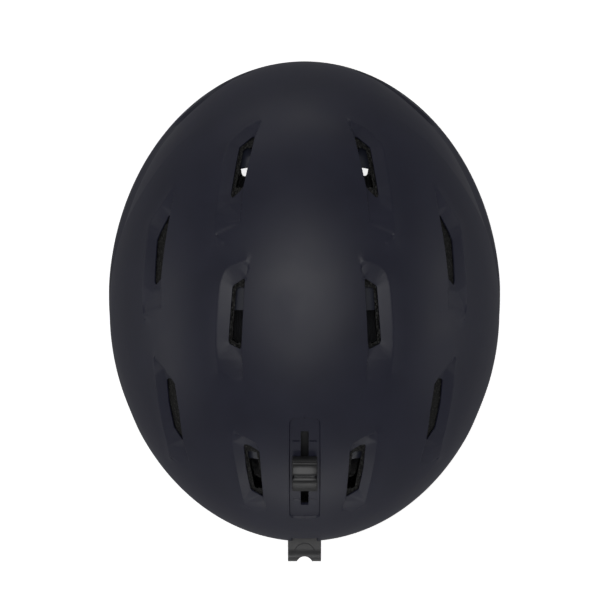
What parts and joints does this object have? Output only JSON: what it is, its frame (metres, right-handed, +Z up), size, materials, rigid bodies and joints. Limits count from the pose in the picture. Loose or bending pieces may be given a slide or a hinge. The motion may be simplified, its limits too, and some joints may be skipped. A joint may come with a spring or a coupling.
{
  "type": "ski helmet",
  "caption": "Snow sports helmet: hard shell with sliding roof vents over a foam liner, nape fit dial, goggle clip, ear pads and a chin strap with a slide-off buckle.",
  "frame": {"origin": "on the surface that the helmet stands on, below the centre of its bounding box", "axes": "+Z up, the wearer faces -Y, the wearer's left is +X"},
  "size_m": [0.2246, 0.288, 0.23],
  "materials": {
    "upper_shell": "matte dark navy hard shell, soft touch",
    "lower_shell": "matte dark navy in-moulded skin",
    "eps_foam": "black expanded foam with visible beads",
    "gasket_foam": "black beaded foam",
    "shutter_plastic": "navy moulded sheet, matte",
    "black_nylon": "black glass-filled nylon, fine moulded grain",
    "slider_plastic": "dark grey satin",
    "clip_plastic": "dark grey satin, flexible",
    "pin_steel": "turned steel",
    "pale_acetal": "natural acetal",
    "dial_rubber": "overmoulded grip",
    "pad_fleece": "charcoal wicking mesh fabric",
    "ear_fleece": "charcoal brushed fleece",
    "ear_cover": "black woven softshell",
    "webbing": "black polyester webbing",
    "buckle_plastic": "black satin",
    "magnet": "nickel-plated magnet"
  },
  "bodies": {
    "helmet": {"upper_shell": "upper_shell", "lower_shell": "lower_shell", "foam_liner": "eps_foam", "vent_gaskets": "gasket_foam", "clip_bracket": "black_nylon", "clip_pin": "pin_steel", "hinge_bracket": "black_nylon", "hinge_pin": "pin_steel", "dial_housing": "black_nylon", "rear_cradle": "black_nylon", "nape_pad": "pad_fleece", "crown_pad": "pad_fleece", "brow_pad": "pad_fleece", "side_pad_left": "pad_fleece", "side_pad_right": "pad_fleece", "rear_pad": "pad_fleece", "ear_pad_left": "ear_fleece", "ear_pad_right": "ear_fleece", "ear_cover_left": "ear_cover", "ear_cover_right": "ear_cover", "ear_pad_snaps": "black_nylon", "strap_front_left": "webbing", "strap_front_right": "webbing", "strap_rear_left": "webbing", "strap_rear_right": "webbing", "strap_anchors": "black_nylon", "strap_divider_left": "black_nylon", "strap_divider_right": "black_nylon", "chin_strap_left": "webbing", "chin_strap_right": "webbing", "chin_pad": "pad_fleece", "buckle_socket": "buckle_plastic", "socket_magnet": "magnet", "strap_adjuster": "black_nylon"},
    "vent_shuttle": {"vent_slider_knob": "slider_plastic", "slider_stem": "black_nylon", "shutter_bridge": "black_nylon", "shutter_left": "shutter_plastic", "shutter_right": "shutter_plastic"},
    "goggle_clip": {"goggle_clip": "clip_plastic"},
    "fit_dial": {"fit_dial": "dial_rubber", "dial_pinion": "pale_acetal", "dial_screw": "pin_steel"},
    "fit_band_left": {"fit_band_left": "black_nylon", "band_pad_left": "pad_fleece"},
    "fit_band_right": {"fit_band_right": "black_nylon", "band_pad_right": "pad_fleece"},
    "buckle_plug": {"buckle_plug": "buckle_plastic", "plug_magnet": "magnet"}
  },
  "joints": [
    {"name": "vent_slide", "type": "hinge", "parent": "helmet", "child": "vent_shuttle", "pos_m": [0, -0.0065, 0.078], "axis": [-1, 0, 0], "range_deg": [-8, 8.2]},
    {"name": "goggle_clip_hinge", "type": "hinge", "parent": "helmet", "child": "goggle_clip", "pos_m": [0, 0.1227, 0.119], "axis": [1, 0, 0], "range_deg": [0, 62]},
    {"name": "fit_band_left_turn", "type": "hinge", "parent": "helmet", "child": "fit_band_left", "pos_m": [0, -0.1055, 0.121], "axis": [0, 0.3371, 0.9415], "range_deg": [-0.33, 4.32]},
    {"name": "fit_band_right_turn", "type": "hinge", "parent": "helmet", "child": "fit_band_right", "pos_m": [0, -0.1055, 0.121], "axis": [0, 0.3371, 0.9415], "range_deg": [-4.32, 0.33]},
    {"name": "fit_dial_turn", "type": "hinge", "parent": "helmet", "child": "fit_dial", "pos_m": [0, 0.09409, 0.04954], "axis": [0, -0.9415, 0.3371], "range_deg": [-15, 195]},
    {"name": "buckle_release", "type": "slide", "parent": "helmet", "child": "buckle_plug", "axis": [0, 1, 0], "range_m": [0, 0.014]}
  ],
  "couplings": [
    {"joint": "fit_band_left_turn", "follows": "fit_dial_turn", "ratio": 0.021739},
    {"joint": "fit_band_right_turn", "follows": "fit_dial_turn", "ratio": -0.021739}
  ]
}
